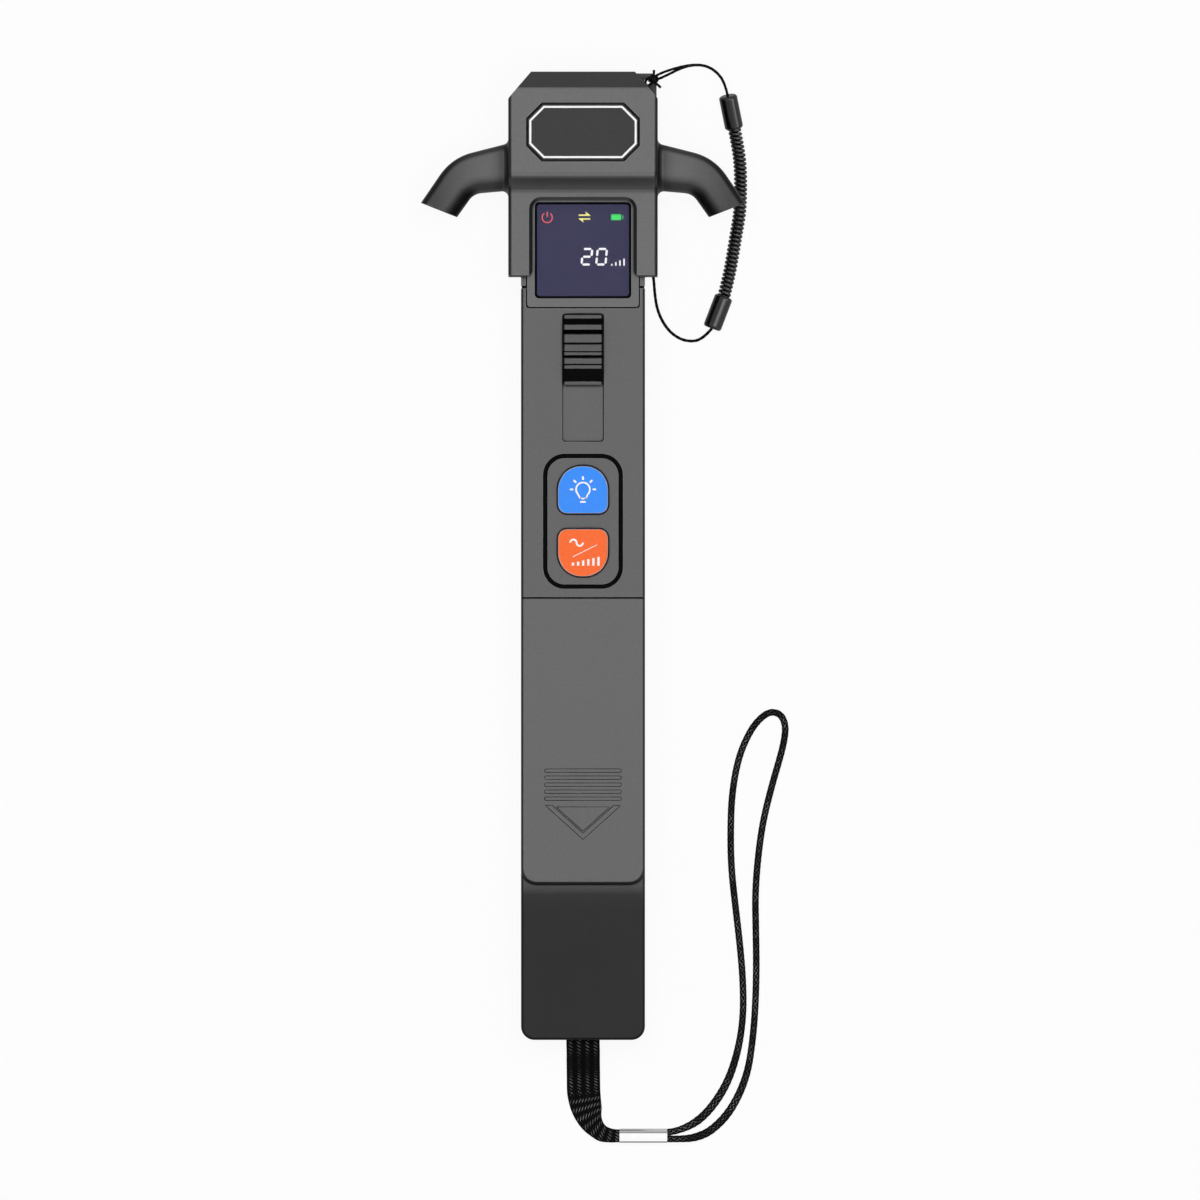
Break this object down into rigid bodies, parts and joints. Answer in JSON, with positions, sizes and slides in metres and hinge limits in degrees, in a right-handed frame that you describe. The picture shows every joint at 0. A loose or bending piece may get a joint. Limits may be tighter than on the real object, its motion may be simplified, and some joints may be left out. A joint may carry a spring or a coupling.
{
  "type": "optical fiber identifier",
  "caption": "Hand-held optical fiber identifier with a display, a thumb slider, two buttons, a tethered light-shield hood with curved arms and a wrist strap.",
  "frame": {"origin": "middle of the part without its cords, on the table plane under its back", "axes": "+Z out of the display face, +Y from the tail to the head, +X to the right when the display is read"},
  "size_m": [0.0902, 0.2643, 0.027],
  "materials": {
    "hood_plastic": "fine moulded grain",
    "shell_plastic": "fine moulded grain",
    "tail_plastic": "soft-touch grain",
    "frame_plastic": "moulded",
    "panel_plastic": "fine moulded grain",
    "plate_film": "printed film",
    "black_rubber": "moulded rubber",
    "clear_lens": "polished",
    "display": "lit display",
    "keypad_plastic": "fine moulded grain",
    "blue_key": "moulded silicone",
    "orange_key": "moulded silicone",
    "thumb_plastic": "moulded",
    "steel": "turned",
    "contact_metal": "plated",
    "cell_skin": "printed sleeve",
    "board": "solder mask",
    "switch_case": "moulded",
    "diode_can": "plated can",
    "plunger_plastic": "machined",
    "crimp_metal": "polished",
    "strap_weave": "woven",
    "tether_plastic": "extruded"
  },
  "bodies": {
    "handle": {"rear_shell": "shell_plastic", "front_shell": "shell_plastic", "tail_cap": "tail_plastic", "head_frame": "frame_plastic", "display_panel": "panel_plastic", "screen_gasket": "black_rubber", "screen_lens": "clear_lens", "display_module": "display", "keypad_plate": "keypad_plastic", "keypad_seal": "black_rubber", "light_switch": "switch_case", "wavelength_switch": "switch_case", "main_board": "board", "return_spring": "steel", "left_photodiode": "diode_can", "right_photodiode": "diode_can", "case_screws": "steel", "left_cell": "cell_skin", "right_cell": "cell_skin", "terminal_contacts": "contact_metal", "series_contact": "contact_metal", "strap_pin": "steel", "tether_lower_string": "tether_plastic", "tether_lower_ferrule": "tether_plastic", "tether_coil": "tether_plastic", "strap_crimp": "crimp_metal", "wrist_loop": "strap_weave", "wrist_band": "strap_weave"},
    "hood": {"hood": "hood_plastic", "hood_plate": "plate_film", "tether_upper_string": "tether_plastic", "tether_upper_ferrule": "tether_plastic"},
    "clamp": {"thumb_slider": "thumb_plastic", "slide_carriage": "plunger_plastic", "plunger_rod": "steel", "plunger": "plunger_plastic"},
    "light_button": {"light_button": "blue_key"},
    "wavelength_button": {"wavelength_button": "orange_key"},
    "battery_door": {"battery_door": "shell_plastic"}
  },
  "joints": [
    {"name": "clamp_slide", "type": "slide", "parent": "handle", "child": "clamp", "axis": [0, -1, 0], "range_m": [0, 0.0136], "stiffness_N_per_m": 250, "springref_m": -0.012, "deforming": ["return_spring"]},
    {"name": "light_button_press", "type": "slide", "parent": "handle", "child": "light_button", "axis": [0, 0, -1], "range_m": [0, 0.0008], "stiffness_N_per_m": 900, "springref_m": -0.0004},
    {"name": "wavelength_button_press", "type": "slide", "parent": "handle", "child": "wavelength_button", "axis": [0, 0, -1], "range_m": [0, 0.0008], "stiffness_N_per_m": 900, "springref_m": -0.0004},
    {"name": "battery_door_slide", "type": "slide", "parent": "handle", "child": "battery_door", "axis": [0, -1, 0], "range_m": [0, 0.006]},
    {"name": "hood_pull", "type": "slide", "parent": "handle", "child": "hood", "axis": [0, 1, 0], "range_m": [0, 0.05], "deforming": ["tether_coil"]}
  ]
}
